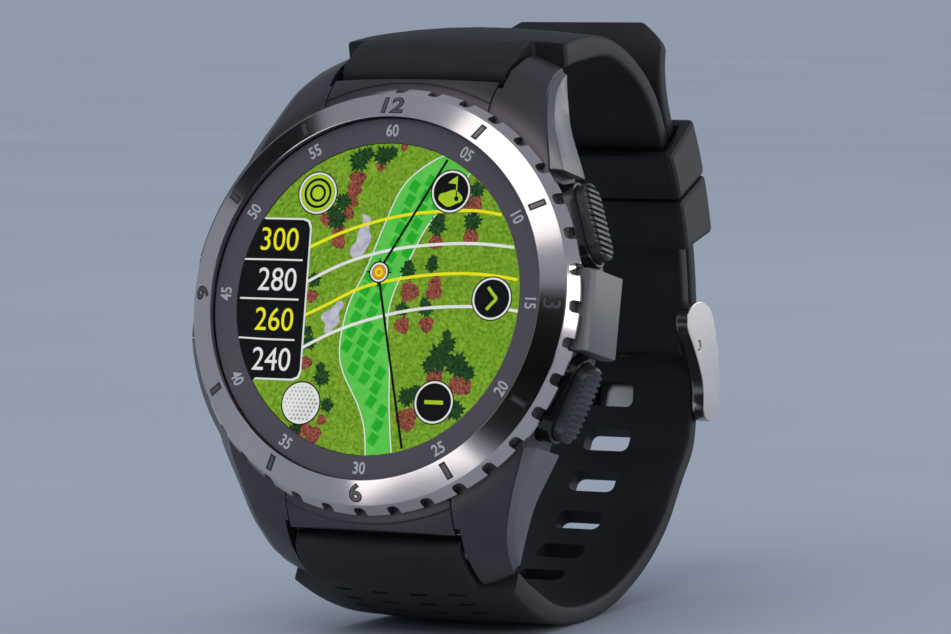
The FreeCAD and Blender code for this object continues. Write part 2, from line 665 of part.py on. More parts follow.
def dash_rows(line, rows, sign):
    """Rows of four short dashes pressed into the outside of a strap half near the lugs."""
    dashes = []
    for row in rows:
        point, along = on_line(line, line[0], row)
        across = vec(0, -along.z, along.y) * (-sign)
        for column in range(4):
            dash = stadium(2.2, 0.7, -0.35, 2)
            dash.rotate(ORIGIN, X_AXIS, 90)
            dash.rotate(ORIGIN, vec(0, 0, 1), 90)
            dash.rotate(ORIGIN, X_AXIS, math.degrees(math.atan2(across.z, across.y)))
            dash.translate(point + across * (STRAP_LUG_T / 2) + vec((column - 1.5) * 4.8, 0, 0))
            dashes.append(dash)
    return Part.makeCompound(dashes)


def upper_strap():
    body = slab_x(ribbon(upper_line(), STRAP_LUG_T, STRAP_T, 12, 24), 20).common(strap_plan())
    lug_eye = rod_x(STRAP_LUG_T / 2, STRAP_NECK_W / 2, BAR_Y, BAR_Z)
    buckle_eye = rod_x(STRAP_EYE_R, STRAP_W / 2, PIN.y, PIN.z)
    body = body.fuse(lug_eye).fuse(buckle_eye)
    body = body.cut(rod_x(BAR_R + 0.05, 30, BAR_Y, BAR_Z)).cut(rod_x(PIN_R + 0.05, 30, PIN.y, PIN.z))
    room = TONGUE_W / 2 + 0.3
    notch = wrist_sector(WRIST_R - 3, WRIST_R + STRAP_T + 3, PIN_AT - 6, PIN_AT + 2.8, room)
    body = body.cut(notch)
    return one_solid(body.cut(dash_rows(upper_line(), (8.6, 11.6), -1)))


def lower_strap():
    line = lower_line()
    body = slab_x(ribbon(line, STRAP_LUG_T, STRAP_T, 12, 26), 20).common(strap_plan())
    body = body.fuse(rod_x(STRAP_LUG_T / 2, STRAP_NECK_W / 2, BAR_Y, -BAR_Z))
    body = body.cut(rod_x(BAR_R + 0.05, 30, BAR_Y, -BAR_Z))
    for index in range(-HOLES_BELOW, HOLES_ABOVE + 1):
        body = body.cut(strap_hole(line, index * HOLE_PITCH))
    half = STRAP_W / 2
    for sx in (-1, 1):
        corner = [(sx * (half + 1), 38.6), (sx * (half + 1), 46), (sx * (half - 5), 46)]
        body = body.cut(polygon_slab_y(corner, 40, 60))
    return one_solid(body.cut(dash_rows(line, (6.2, 9.0, 11.8), 1)))


# ---- keepers and buckle ----------------------------------------------------------------------
def keeper(start):
    inner = WRIST_R - KEEPER_PLAY
    outer = TAIL_R + STRAP_T / 2 + KEEPER_PLAY
    half = STRAP_W / 2 + KEEPER_PLAY
    end = start + KEEPER_SPAN
    band = wrist_sector(inner - KEEPER_WALL, outer + KEEPER_WALL + 0.2, start, end, half + KEEPER_WALL)
    return band.cut(wrist_sector(inner, outer, start - 3, end + 3, half))


def buckle_outline():
    """Side view of the buckle frame: a curved plate from beside the pin to the outer bar."""
    points = [(-3.0, 10.3), (0.1, 11.6), (3.1, 11.1), (5.2, 8.7), (6.9, 5.3), (8.0, 1.1),
              (7.6, -1.1), (5.9, -2.3), (3.9, -1.6), (3.2, 0.9), (1.2, 3.9), (-2.0, 6.7),
              (-3.6, 8.5)]
    curve = Part.BSplineCurve()
    curve.interpolate([vec(0, WRIST_Y + WRIST_R + y, WRIST_Z + z) for y, z in points], True)
    return [curve.toShape()]


def buckle_frame():
    inner_half = STRAP_W / 2 + KEEPER_PLAY
    outer_half = inner_half + BUCKLE_WALL
    body = slab_x(buckle_outline(), outer_half)
    body = body.cut(Part.makeCylinder(BUCKLE_BAR_IN, 2 * inner_half, vec(-inner_half, WRIST_Y, WRIST_Z), X_AXIS))
    # window between the side arms, above the outer bar
    body = body.cut(block(-inner_half, inner_half, 50, 80, WRIST_Z + 2.9, 20))
    body = body.cut(rod_x(PIN_R + 0.05, 30, PIN.y, PIN.z))
    seat = wrist_sector(BUCKLE_BAR_IN + 1.75 - TONGUE_NOTCH, 60, -8, 4, TONGUE_W / 2 + 0.2)
    return one_solid(body.cut(seat))


def tongue_line():
    seat = BUCKLE_BAR_IN + 1.75 - TONGUE_NOTCH + TONGUE_T / 2 + 0.05
    return [PIN, on_wrist(WRIST_R + 3.4, PIN_AT), on_wrist(WRIST_R + 5.4, PIN_AT - 0.4),
            on_wrist(WRIST_R + 7.0, PIN_AT - 2.0),
            on_wrist(seat + 0.15, PIN_AT - 4.8), on_wrist(seat + 0.1, 0.0), on_wrist(seat + 0.1, -4.0)]


def buckle_tongue():
    plate = slab_x(ribbon(tongue_line(), TONGUE_T, TONGUE_T, 1, 2), TONGUE_W / 2)
    hub = rod_x(TONGUE_HUB_R, TONGUE_W / 2, PIN.y, PIN.z)
    return plate.fuse(hub).removeSplitter().cut(rod_x(PIN_R + 0.05, 30, PIN.y, PIN.z))


def buckle_pin():
    return rod_x(PIN_R, STRAP_W / 2 + KEEPER_PLAY + BUCKLE_WALL - 0.15, PIN.y, PIN.z)


# ---- the finished watch ----------------------------------------------------------------------
def place(shape):
    """From watch coordinates to the frame of the part."""
    placed = shape.copy()
    placed.translate(vec(0, -LOOP_DEPTH, 0))
    placed.rotate(ORIGIN, X_AXIS, -LEAN_BACK)
    return placed


PUSHER_END_Z = 15.6       # where the flank panels meet the pusher collars

pieces = {
    "lens": lens(),
    "minute_ring": minute_ring(),
    "lens_gasket": lens_gasket(),
    "display_panel": display_panel(),
    "display_flex": display_flex(),
    "bezel_ring": bezel_ring(),
    "mid_case": mid_case(),
    "upper_hood": hood(1),
    "lower_hood": hood(-1),
    "right_upper_flank_panel": flank_panel(1, 1, PUSHER_END_Z),
    "right_lower_flank_panel": flank_panel(1, -1, PUSHER_END_Z),
    "left_upper_flank_panel": flank_panel(-1, 1, GUARD_W / 2 + SHUT_GAP),
    "left_lower_flank_panel": flank_panel(-1, -1, GUARD_W / 2 + SHUT_GAP),
    "right_guard": guard(1),
    "left_guard": guard(-1),
    "case_back": case_back(),
    "case_back_gasket": case_back_gasket(),
    "case_back_screws": case_back_screws(),
    "charging_contacts": charging_contacts(),
    "inner_chassis": inner_chassis(),
    "main_board": main_board(),
    "board_chips": board_chips(),
    "button_switches": button_switches(),
    "battery_cell": battery_cell(),
    "gps_antenna": gps_antenna(),
    "vibration_motor": vibration_motor(),
    "upper_spring_bar": spring_bar(1),
    "lower_spring_bar": spring_bar(-1),
    "upper_strap": upper_strap(),
    "lower_strap": lower_strap(),
    "fixed_keeper": keeper(FIXED_KEEPER_AT),
    "sliding_keeper": keeper(FIXED_KEEPER_AT + KEEPER_SPAN + 0.15),
    "buckle_frame": buckle_frame(),
    "buckle_tongue": buckle_tongue(),
    "buckle_pin": buckle_pin(),
}
for side, name in ((1, "upper"), (-1, "lower")):
    pieces[name + "_pusher_collar"] = pusher_collar(side)
    pieces[name + "_pusher_cap"] = pusher_cap(side)
    pieces[name + "_pusher_stem"] = pusher_stem(side)
    pieces[name + "_pusher_clip"] = pusher_clip(side)
    pieces[name + "_pusher_seal"] = pusher_seal(side)
    pieces[name + "_pusher_spring"] = pusher_spring(side)

os.makedirs("parts", exist_ok=True)
for name, shape in pieces.items():
    place(shape).exportStep("parts/" + name + ".step")
    print(name, "solids", len(shape.Solids), "valid", shape.isValid(), "volume", round(shape.Volume, 2))
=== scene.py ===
import bpy
import bmesh
import math
import numpy as np
from mathutils import Matrix, Vector


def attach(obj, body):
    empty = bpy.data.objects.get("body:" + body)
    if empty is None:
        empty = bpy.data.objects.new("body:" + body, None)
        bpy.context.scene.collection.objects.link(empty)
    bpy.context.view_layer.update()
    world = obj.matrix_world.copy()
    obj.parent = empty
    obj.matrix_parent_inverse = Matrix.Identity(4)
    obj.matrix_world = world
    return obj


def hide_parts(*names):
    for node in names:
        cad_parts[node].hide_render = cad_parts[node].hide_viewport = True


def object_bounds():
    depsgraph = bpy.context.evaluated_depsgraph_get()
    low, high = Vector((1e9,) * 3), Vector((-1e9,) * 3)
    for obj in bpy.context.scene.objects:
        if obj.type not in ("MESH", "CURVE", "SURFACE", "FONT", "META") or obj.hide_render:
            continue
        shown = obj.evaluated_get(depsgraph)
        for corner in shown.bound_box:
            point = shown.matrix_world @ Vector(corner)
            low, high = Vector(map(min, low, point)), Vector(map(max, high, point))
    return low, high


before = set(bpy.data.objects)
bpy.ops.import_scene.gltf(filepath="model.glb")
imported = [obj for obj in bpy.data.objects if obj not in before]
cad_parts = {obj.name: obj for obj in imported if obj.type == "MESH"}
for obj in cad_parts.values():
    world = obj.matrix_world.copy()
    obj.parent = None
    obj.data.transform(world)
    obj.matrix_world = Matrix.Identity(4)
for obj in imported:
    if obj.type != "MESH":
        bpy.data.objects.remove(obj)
cad_low, cad_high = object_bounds()

# ---- studio ---------------------------------------------------------------------------------
# The watch stands on a large pale table. A broad lamp shines from the front and above, two boxes
# from the right and from behind, and a small one lies on the table below the face. Three dark
# flags, which only reflections show, put the dark zones on the polished steel.
table_width = 80
lamp_distance = 1.1
relief_height = 0.00005


def srgb(red, green, blue):
    """A colour read off a chart, as the linear values that a shader takes."""
    parts = []
    for value in (red, green, blue):
        share = value / 255
        parts.append(share / 12.92 if share <= 0.04045 else ((share + 0.055) / 1.055) ** 2.4)
    return (*parts, 1.0)


def finish(name, dark, light, metallic=0.0, roughness=0.5, grain=2500.0, bump=0.1, mottle=250.0,
           rough_play=0.15, coat=0.0, glow=0.0, shine=0.5):
    """A finish with fine grain in its relief and slow changes in its colour and roughness."""
    material = bpy.data.materials.new(name)
    material.use_nodes = True
    nodes = material.node_tree.nodes
    link = material.node_tree.links.new
    shader = nodes["Principled BSDF"]
    shader.inputs["Metallic"].default_value = metallic
    shader.inputs["Coat Weight"].default_value = coat
    where = nodes.new("ShaderNodeTexCoord").outputs["Object"]
    slow = nodes.new("ShaderNodeTexNoise")
    slow.inputs["Scale"].default_value = mottle
    slow.inputs["Detail"].default_value = 4
    link(where, slow.inputs["Vector"])
    fine = nodes.new("ShaderNodeTexNoise")
    fine.inputs["Scale"].default_value = grain
    fine.inputs["Detail"].default_value = 5
    link(where, fine.inputs["Vector"])
    ramp = nodes.new("ShaderNodeValToRGB")
    ramp.color_ramp.elements[0].position = 0.3
    ramp.color_ramp.elements[1].position = 0.7
    ramp.color_ramp.elements[0].color = dark
    ramp.color_ramp.elements[1].color = light
    link(slow.outputs["Fac"], ramp.inputs["Fac"])
    if glow:
        shader.inputs["Base Color"].default_value = (0.01, 0.01, 0.01, 1)
        shader.inputs["Emission Strength"].default_value = glow
        link(ramp.outputs["Color"], shader.inputs["Emission Color"])
    else:
        link(ramp.outputs["Color"], shader.inputs["Base Color"])
    shader.inputs["Specular IOR Level"].default_value = 0.0 if glow else shine
    spread = nodes.new("ShaderNodeMapRange")
    spread.inputs["To Min"].default_value = roughness * (1 - rough_play)
    spread.inputs["To Max"].default_value = min(roughness * (1 + rough_play), 1)
    link(fine.outputs["Fac"], spread.inputs["Value"])
    link(spread.outputs["Result"], shader.inputs["Roughness"])
    relief = nodes.new("ShaderNodeBump")
    relief.inputs["Strength"].default_value = bump
    relief.inputs["Distance"].default_value = relief_height
    link(fine.outputs["Fac"], relief.inputs["Height"])
    link(relief.outputs["Normal"], shader.inputs["Normal"])
    return material


def studio_sheet(name, material, middle, width, height, facing):
    """A flat sheet in the studio, turned to face along a direction."""
    mesh = bpy.data.meshes.new(name)
    bm = bmesh.new()
    bmesh.ops.create_grid(bm, x_segments=1, y_segments=1, size=0.5)
    turn = Vector(facing).to_track_quat("Z", "Y").to_matrix().to_4x4()
    bmesh.ops.transform(bm, matrix=Matrix.Translation(middle) @ turn @ Matrix.Diagonal((width, height, 1, 1)),
                        verts=bm.verts)
    bm.to_mesh(mesh)
    bm.free()
    mesh.materials.append(material)
    sheet = bpy.data.objects.new(name, mesh)
    bpy.context.scene.collection.objects.link(sheet)
    return sheet


table_paper = finish("table_paper", srgb(206, 212, 222), srgb(212, 218, 228), roughness=0.8, grain=900,
                     mottle=6)
black_card = finish("black_card", srgb(4, 4, 4), srgb(7, 7, 7), roughness=0.9, grain=900, mottle=6,
                    shine=0.05)
studio_sheet("table", table_paper, (0, 0, cad_low[2]), table_width, table_width, (0, 0, 1))
for flag in (studio_sheet("flag_table", black_card, (0.17, -0.45, cad_low[2] + 0.001), 0.34, 0.66, (0, 0, 1)),
             studio_sheet("flag_front", black_card, (0.22, -0.76, 0.15), 0.60, 0.36, (-0.3, 1, 0)),
             studio_sheet("flag_left", black_card, (-0.45, -0.11, 0.33), 0.17, 0.2, (0.82, 0.2, -0.55))):
    flag.visible_camera = False
    flag.visible_diffuse = False
    flag.visible_shadow = False


def add_lamp(name, kind, power):
    """A lamp that isn't placed yet."""
    lamp = bpy.data.lights.new(name, kind)
    lamp.energy = power
    holder = bpy.data.objects.new(name, lamp)
    bpy.context.scene.collection.objects.link(holder)
    return holder


def aimed_lamp(name, kind, azimuth, elevation, power):
    """A lamp that looks at the watch from a direction."""
    holder = add_lamp(name, kind, power)
    az, el = math.radians(azimuth), math.radians(elevation)
    away = Vector((math.sin(az) * math.cos(el), -math.cos(az) * math.cos(el), math.sin(el)))
    holder.location = away * lamp_distance
    holder.rotation_euler = (-away).to_track_quat("-Z", "Y").to_euler()
    return holder


aimed_lamp("key_dome", "SUN", 0, 47, 0.6).data.angle = math.radians(42)
aimed_lamp("right_box", "AREA", 96, 4, 2.2).data.size = 0.5
aimed_lamp("side_box", "AREA", 152, 9, 1.3).data.size = 0.42
table_lamp = add_lamp("table_lamp", "AREA", 0.006)
table_lamp.location = (-0.005, -0.091, cad_low[2] + 0.002)
table_lamp.rotation_euler = (math.radians(180), 0, math.radians(-42))
table_lamp.data.shape = "RECTANGLE"
table_lamp.data.size = 0.048
table_lamp.data.size_y = 0.026
world = bpy.data.worlds.new("studio")
world.use_nodes = True
world.node_tree.nodes["Background"].inputs["Color"].default_value = srgb(147, 156, 170)
world.node_tree.nodes["Background"].inputs["Strength"].default_value = 1.0
bpy.context.scene.world = world
bpy.context.scene.view_settings.view_transform = "Standard"

# The camera stands to the right of the face, a little above the middle of the case.
face_middle = Vector((0, -0.03515, 0.00779))
camera_side = Vector((0.4593, -0.8861, 0.0628))
camera_distance = 0.56
camera = bpy.data.objects.new("camera", bpy.data.cameras.new("camera"))
bpy.context.scene.collection.objects.link(camera)
camera.data.lens = 190
camera.data.sensor_width = 36
camera.location = face_middle + camera_side * camera_distance
aim = Vector((0.01008, -0.03008, 0.00565))
camera.rotation_euler = (aim - camera.location).to_track_quat("-Z", "Y").to_euler()
bpy.context.scene.camera = camera

# ---- display ----------------------------------------------------------------------------------
# A round colour panel of 35.4 mm under the glass, lit from behind. It shows a golf hole from
# above: rough, fairway, sand, trees, distance lines, round buttons and a list of distances.
lean_back = Matrix.Rotation(math.radians(-12.5), 4, "X")
to_part = lean_back @ Matrix.Translation((0, -0.036, 0)) @ Matrix.Scale(0.001, 4)
window_r = 17.65
# How far back each printed layer lies, from the ground up to the small marks.
layers = {"rough": 0.63, "fairway": 0.595, "squares": 0.575, "edge": 0.57, "soil": 0.56, "trees": 0.535,
          "distance": 0.5, "aim": 0.495, "target": 0.49, "button": 0.485, "list_rim": 0.482,
          "button_rim": 0.478, "list": 0.475, "sign": 0.47, "flag_pole": 0.462, "fine_line": 0.46,
          "figures": 0.455}


def add_piece(name, bm, material, stands_for=(), body="watch", place=to_part, sharp=35):
    """Turn a finished bmesh, drawn in watch millimetres, into a piece that rides on a body."""
    bmesh.ops.transform(bm, matrix=place, verts=bm.verts)
    mesh = bpy.data.meshes.new(name)
    bm.to_mesh(mesh)
    bm.free()
    mesh.shade_smooth()
    mesh.set_sharp_from_angle(angle=math.radians(sharp))
    mesh.materials.append(material)
    piece = bpy.data.objects.new(name, mesh)
    bpy.context.scene.collection.objects.link(piece)
    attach(piece, body)
    if stands_for:
        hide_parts(*stands_for)
    return piece


def inside_window(x, z):
    """The point itself, or the nearest one on the window's edge if it lies outside."""
    r = math.hypot(x, z)
    return (x, z) if r <= window_r else (x * window_r / r, z * window_r / r)


def flat_shape(bm, outline, depth, thick=0.015):
    """A thin plate with the given outline, facing forward at a depth."""
    verts = [bm.verts.new((x, depth + thick, z)) for x, z in outline]
    face = bm.faces.new(verts)
    face.normal_update()
    pushed = bmesh.ops.extrude_face_region(bm, geom=[face])
    moved = [v for v in pushed["geom"] if isinstance(v, bmesh.types.BMVert)]
    bmesh.ops.translate(bm, verts=moved, vec=(0, -thick, 0))


def round_shape(bm, x, z, outer, depth, inner=0.0):
    """A thin disc or ring, facing forward."""
    turn = Matrix.Translation((x, depth, z)) @ Matrix.Rotation(math.radians(90), 4, "X")
    rim = bmesh.ops.create_circle(bm, segments=56, radius=outer, cap_ends=not inner, matrix=turn)["verts"]
    if inner:
        hole = bmesh.ops.create_circle(bm, segments=56, radius=inner, matrix=turn)["verts"]
        edges = {e for v in rim + hole for e in v.link_edges}
        bmesh.ops.bridge_loops(bm, edges=list(edges))


def line_shape(bm, points, width, depth):
    """A thin line of even width through the points."""
    sides = []
    for index, (x, z) in enumerate(points):
        x0, z0 = points[max(index - 1, 0)]
        x1, z1 = points[min(index + 1, len(points) - 1)]
        length = math.hypot(x1 - x0, z1 - z0)
        nx, nz = -(z1 - z0) / length * width / 2, (x1 - x0) / length * width / 2
        sides.append(((x + nx, z + nz), (x - nx, z - nz)))
    outline = [inside_window(*a) for a, b in sides] + [inside_window(*b) for a, b in reversed(sides)]
    flat_shape(bm, outline, depth)


def curve_through(points, count):
    """Points spaced evenly along a smooth line through the given points."""
    p = np.array(points, float)
    t = np.concatenate([[0], np.cumsum(np.linalg.norm(np.diff(p, axis=0), axis=1))])
    n = len(p)
    h = np.diff(t)
    m = np.zeros((n, n))
    rhs = np.zeros((n, p.shape[1]))
    m[0, 0] = m[-1, -1] = 1
    for i in range(1, n - 1):
        m[i, i - 1], m[i, i], m[i, i + 1] = h[i - 1], 2 * (h[i - 1] + h[i]), h[i]
        rhs[i] = 6 * ((p[i + 1] - p[i]) / h[i] - (p[i] - p[i - 1]) / h[i - 1])
    bend = np.linalg.solve(m, rhs)
    out = []
    for s in np.linspace(0, t[-1], count):
        i = min(max(int(np.searchsorted(t, s)) - 1, 0), n - 2)
        a, b = (t[i + 1] - s) / h[i], (s - t[i]) / h[i]
        bent = ((a ** 3 - a) * bend[i] + (b ** 3 - b) * bend[i + 1]) * h[i] ** 2 / 6
        out.append(a * p[i] + b * p[i + 1] + bent)
    return out


def add_figures(bm, text, size, middle, depth, turn=0.0, squeeze=1.0, weight=0.0):
    """Figures as a thin plate facing forward: turn is clockwise, in degrees."""
    curve = bpy.data.curves.new("figures", "FONT")
    curve.body = text
    curve.size = size
    curve.offset = weight
    curve.extrude = 0.008
    curve.resolution_u = 4
    writing = bpy.data.objects.new("figures", curve)
    bpy.context.scene.collection.objects.link(writing)
    bpy.context.view_layer.update()
    mesh = bpy.data.meshes.new_from_object(writing)
    bpy.data.objects.remove(writing)
    bpy.data.curves.remove(curve)
    xs = [v.co.x for v in mesh.vertices]
    ys = [v.co.y for v in mesh.vertices]
    centre = Matrix.Translation((-(min(xs) + max(xs)) / 2, -(min(ys) + max(ys)) / 2, 0))
    stand = Matrix.Rotation(math.radians(90), 4, "X")
    spun = Matrix.Rotation(math.radians(turn), 4, "Y")
    mesh.transform(Matrix.Translation((middle[0], depth, middle[1])) @ spun @ stand
                   @ Matrix.Diagonal((squeeze, 1, 1, 1)) @ centre)
    bm.from_mesh(mesh)
    bpy.data.meshes.remove(mesh)


grass = finish("rough_grass", srgb(86, 136, 18), srgb(146, 192, 50), roughness=0.9, mottle=2600, glow=1.0)
turf = finish("fairway_turf", srgb(86, 204, 72), srgb(104, 214, 88), roughness=0.9, mottle=900, glow=1.0)
mown = finish("fairway_stripe", srgb(24, 178, 34), srgb(44, 190, 48), roughness=0.9, mottle=900, glow=1.0)
sand = finish("bunker_sand", srgb(176, 176, 194), srgb(214, 214, 226), roughness=0.9, mottle=1500, glow=1.0)
soil = finish("tree_soil", srgb(60, 26, 16), srgb(196, 108, 84), roughness=0.9, mottle=4200, glow=0.9)
leaves = finish("tree_leaves", srgb(4, 26, 8), srgb(46, 98, 40), roughness=0.9, mottle=3000, glow=0.9)
black_ink = finish("screen_black", srgb(4, 4, 5), srgb(9, 9, 10), roughness=0.6, mottle=500, glow=1.0)
white_ink = finish("screen_white", srgb(236, 238, 236), srgb(246, 247, 246), roughness=0.6, mottle=500,
                   glow=1.0)
yellow_ink = finish("screen_yellow", srgb(244, 240, 16), srgb(252, 248, 30), roughness=0.6, mottle=500,
                    glow=1.0)
lime_ink = finish("screen_lime", srgb(170, 210, 34), srgb(184, 222, 46), roughness=0.6, mottle=500, glow=1.0)
orange_ink = finish("screen_orange", srgb(228, 150, 20), srgb(240, 170, 34), roughness=0.6, mottle=500,
                    glow=1.0)

bm = bmesh.new()
round_shape(bm, 0, 0, window_r, layers["rough"])
add_piece("screen_rough", bm, grass)

fairway_left = [(6.7, 16.5), (1.8, 12.6), (0.6, 9.9), (-0.5, 6.8), (-1.9, 2.8), (-3.3, -0.3), (-3.9, -3.0),
                (-3.8, -7.3), (-1.5, -11.3), (-0.1, -14.2), (0.5, -17.64)]
fairway_right = [(3.7, -17.2), (2.8, -11.4), (2.3, -6.8), (1.6, -1.8), (2.2, 1.2), (3.5, 4.2), (4.4, 6.3),
                 (5.6, 8.6), (8.2, 11.7), (10.1, 14.4)]
fairway = [tuple(p) for p in curve_through(fairway_left, 40)]
fairway += [tuple(p) for p in curve_through(fairway_right, 36)]
bm = bmesh.new()
flat_shape(bm, [inside_window(*p) for p in fairway], layers["fairway"])
add_piece("screen_fairway", bm, turf)
bm = bmesh.new()
closed = [inside_window(*p) for p in fairway] + [inside_window(*fairway[0])]
line_shape(bm, closed[:40], 0.13, layers["edge"])
line_shape(bm, closed[40:76], 0.13, layers["edge"])
add_piece("screen_fairway_edge", bm, white_ink)


def in_fairway(x, z):
    """Whether a point lies on the mown grass."""
    hit = False
    for (x0, z0), (x1, z1) in zip(fairway, fairway[1:] + fairway[:1]):
        if (z0 > z) != (z1 > z) and x < (x1 - x0) * (z - z0) / (z1 - z0) + x0:
            hit = not hit
    return hit


bm = bmesh.new()
for row in range(-14, 15):
    for column in range(-8, 12):
        x, z = column * 1.95 + row * 0.42, row * 1.6 + column * 0.6
        corners = [(x + dx * 0.78, z + dz * 0.86)
                   for dx, dz in ((-1, -0.35), (0.2, -1), (1, 0.35), (-0.2, 1))]
        if all(in_fairway(*c) and math.hypot(*c) < window_r - 0.15 for c in corners):
            flat_shape(bm, corners, layers["squares"])
add_piece("screen_mown_squares", bm, mown)

bm = bmesh.new()
for outline in ([(-2.9, 9.5), (-2.2, 9.4), (-1.7, 8.8), (-1.9, 8.0), (-1.5, 7.1), (-1.8, 5.9), (-2.5, 4.8),
                 (-3.2, 4.4), (-3.6, 4.6), (-3.9, 5.7), (-3.3, 6.4), (-3.2, 7.4), (-2.7, 8.4)],
                [(-4.9, -0.4), (-4.4, -0.4), (-4.1, -0.8), (-4.6, -1.7), (-4.4, -2.7), (-5.2, -3.6),
                 (-5.6, -4.2), (-6.2, -3.9), (-6.2, -3.0), (-6.8, -2.4), (-6.6, -1.8), (-5.8, -1.4)]):
    flat_shape(bm, [tuple(p) for p in curve_through(outline + outline[:1], 40)[:-1]], layers["fairway"])
add_piece("screen_bunkers", bm, sand)

bm = bmesh.new()
soil_spots = [(-3.9, 13.5, 1.0), (-4.2, 12.2, 0.9), (-4.4, 10.9, 0.85), (-4.7, 9.6, 0.8), (-5.5, 6.4, 0.9),
              (-5.6, 7.6, 0.8), (-1.1, 15.1, 0.65), (1.6, 17.2, 0.45), (4.0, 0.9, 1.15), (7.0, 1.0, 1.0),
              (7.1, 2.0, 0.8), (3.5, -2.9, 0.95), (6.5, -2.7, 0.9), (-8.2, 0.1, 0.75), (-8.1, -7.5, 0.75),
              (-5.4, -13.9, 0.6), (11.4, -9.2, 1.4), (8.2, -8.6, 1.0), (5.2, -13.4, 1.3), (-6.4, -15.6, 1.1),
              (-7.6, -15.0, 0.9), (10.9, 7.3, 0.95), (6.7, 6.6, 0.9), (10.9, 10.9, 1.1), (-7.3, 8.9, 0.8)]
for number, (x, z, size) in enumerate(soil_spots):
    outline = []
    for step in range(22):
        a = step * math.tau / 22
        r = size * (1 + 0.12 * math.sin(3 * a + number) + 0.08 * math.sin(7 * a + 2 * number))
        outline.append(inside_window(x + r * math.cos(a), z + r * math.sin(a)))
    flat_shape(bm, outline, layers["soil"])
add_piece("screen_tree_soil", bm, soil)

bm = bmesh.new()
tree_spots = [(-3.9, 15.6, 1.35), (-2.9, 16.4, 0.9), (-0.9, 16.2, 1.25), (0.2, 16.6, 0.8), (-6.0, 8.9, 1.3),
              (-5.4, 10.9, 1.1), (-6.6, 9.8, 0.8), (11.2, 12.6, 1.0), (11.0, 9.0, 1.2), (6.7, 8.3, 1.15),
              (6.9, 9.2, 0.8), (3.6, 3.1, 1.05), (3.6, 3.9, 0.7), (6.5, 3.9, 0.9), (6.6, 4.6, 0.6),
              (3.3, -1.1, 0.9), (6.3, -1.0, 0.95), (6.0, -0.2, 0.6), (-8.1, 1.9, 0.95), (-7.9, -5.2, 0.95),
              (-8.3, -3.9, 0.7), (-5.9, -9.1, 1.1), (-6.2, -8.0, 0.7), (-4.9, -12.2, 0.9), (8.6, -6.4, 1.7),
              (9.4, -4.9, 1.1), (9.2, -3.8, 0.65), (10.8, -7.1, 1.5), (12.2, -8.0, 1.0), (7.4, -7.3, 1.0),
              (11.1, -12.2, 1.2), (5.0, -10.9, 1.2), (6.1, -10.2, 0.8), (-8.6, -15.0, 0.9)]
for number, (x, z, size) in enumerate(tree_spots):
    outline = []
    for step in range(26):
        a = step * math.tau / 26
        r = size * (1.05 if step % 2 else 0.72) * (1 + 0.13 * math.sin(5 * a + 1.7 * number))
        outline.append(inside_window(x + r * math.cos(a), z + r * math.sin(a)))
    flat_shape(bm, outline, layers["trees"] - 0.0004 * number)
add_piece("screen_trees", bm, leaves)

distance_lines = {
    yellow_ink: ([(-9.1, 5.6), (-5.1, 7.4), (-0.7, 8.8), (3.6, 9.7), (8.0, 10.1), (11.3, 10.2), (14.5, 9.8)],
                 [(-8.8, -2.1), (-5.3, -0.4), (-2.5, 1.0), (1.5, 2.1), (5.9, 2.8), (10.2, 3.1), (13.9, 3.0),
                  (17.2, 2.6)]),
    white_ink: ([(-8.9, 1.7), (-5.4, 3.5), (-1.8, 4.8), (2.6, 5.8), (6.9, 6.3), (11.7, 6.5), (16.4, 6.2)],
                [(-8.7, -5.8), (-5.6, -4.2), (-2.0, -2.8), (1.9, -1.7), (6.3, -0.9), (10.3, -0.6),
                 (14.3, -0.6), (17.6, -0.9)]),
}
for ink, lines in distance_lines.items():
    bm = bmesh.new()
    for points in lines:
        line_shape(bm, [tuple(p) for p in curve_through(points, 40)], 0.34, layers["distance"])
    ink_name = "yellow" if ink is yellow_ink else "white"
    add_piece("screen_distance_lines_" + ink_name, bm, ink)

buttons = {"target": (-8.7, 11.8), "flag": (8.0, 12.3), "next": (14.3, 0.4), "minus": (8.4, -11.4)}
ball = (-8.2, -12.1)
button_r = 2.5
target = (0, 3.0)
list_right = [(-10.2, 8.7), (-9.55, 8.45), (-9.25, 7.7), (-8.75, -8.4), (-9.0, -9.1), (-9.7, -9.4)]


def list_plate(grow):
    """The list of distances: straight at the right, round with the window at the left."""
    right = [(x + grow, z + grow * (1 if z > 0 else -1)) for x, z in list_right]
    angles = np.linspace(math.radians(214), math.radians(150), 26)
    left = [(window_r * math.cos(a), window_r * math.sin(a)) for a in angles]
    return [(left[-1][0] + 0.3, right[0][1])] + right + [(left[0][0] + 0.3, right[-1][1])] + left


bm = bmesh.new()
line_shape(bm, [(7.2, 15.9), (3.55, 9.45), (-0.1, 3.0)], 0.3, layers["aim"])
line_shape(bm, [(-0.1, 3.0), (2.45, -6.95), (5.0, -16.7)], 0.3, layers["aim"])
round_shape(bm, *target, 1.25, layers["target"])
flat_shape(bm, list_plate(0), layers["list"])
for x, z in list(buttons.values()) + [ball]:
    round_shape(bm, x, z, button_r, layers["button"])
add_piece("screen_black_shapes", bm, black_ink)

bm = bmesh.new()
flat_shape(bm, list_plate(0.2), layers["list_rim"], 0.006)
round_shape(bm, *target, 1.08, layers["button"], 0.86)
for x, z in buttons.values():
    round_shape(bm, x, z, 2.36, layers["button_rim"], 2.14)
round_shape(bm, *ball, 2.34, layers["button_rim"])
for z in (4.1, -0.4, -5.0):
    line_shape(bm, [(-17.3, z), (-13.5, z), (-9.8, z)], 0.2, layers["fine_line"])
list_size = 3.75
for x, z, text in ((-12.75, 1.85, "280"), (-12.5, -7.25, "240")):
    add_figures(bm, text, list_size, (x, z), layers["figures"], squeeze=0.9)
add_piece("screen_white_shapes", bm, white_ink)

